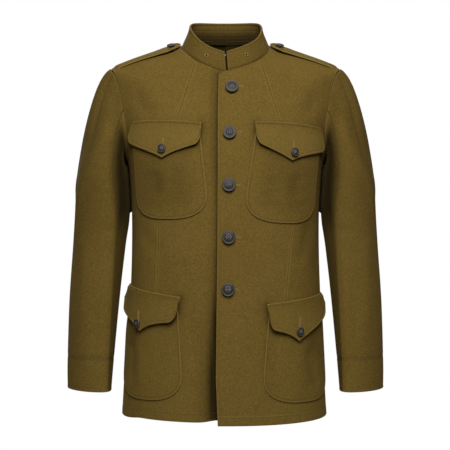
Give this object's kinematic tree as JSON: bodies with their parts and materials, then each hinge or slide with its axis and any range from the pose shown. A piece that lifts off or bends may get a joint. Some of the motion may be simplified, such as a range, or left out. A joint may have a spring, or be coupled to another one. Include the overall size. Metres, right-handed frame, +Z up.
{
  "type": "military dress tunic",
  "caption": "Standing-collar wool tunic worn but empty: buttoned front, flapped breast and skirt patch pockets, shoulder straps, two-piece sleeves.",
  "frame": {"origin": "centre of the neck opening, 5 mm over the side neck points, where the wearer's shoulders carry the tunic", "axes": "+Z up, -Y towards the buttoned front, +X towards the wearer's left"},
  "size_m": [0.6118, 0.2708, 0.7728],
  "materials": {
    "wool_cloth": "dull, slightly fuzzy milled wool serge in olive drab",
    "dark_bronze": "dark oxidised bronze with rubbed high spots"
  },
  "bodies": {
    "root": {"front_left": "wool_cloth", "front_right": "wool_cloth", "back_left": "wool_cloth", "back_right": "wool_cloth", "sleeve_left_top": "wool_cloth", "sleeve_left_under": "wool_cloth", "sleeve_right_top": "wool_cloth", "sleeve_right_under": "wool_cloth", "collar": "wool_cloth", "neck_tape": "wool_cloth", "shoulder_strap_left": "wool_cloth", "shoulder_strap_right": "wool_cloth", "pocket_breast_left": "wool_cloth", "pocket_breast_right": "wool_cloth", "pocket_skirt_left": "wool_cloth", "pocket_skirt_right": "wool_cloth", "flap_breast_left": "wool_cloth", "flap_breast_right": "wool_cloth", "flap_skirt_left": "wool_cloth", "flap_skirt_right": "wool_cloth", "button_front_1": "dark_bronze", "button_front_2": "dark_bronze", "button_front_3": "dark_bronze", "button_front_4": "dark_bronze", "button_front_5": "dark_bronze", "button_breast_left": "dark_bronze", "button_breast_right": "dark_bronze", "button_skirt_left": "dark_bronze", "button_skirt_right": "dark_bronze", "button_strap_left": "dark_bronze", "button_strap_right": "dark_bronze", "collar_hook": "dark_bronze", "collar_eye": "dark_bronze"}
  },
  "joints": []
}
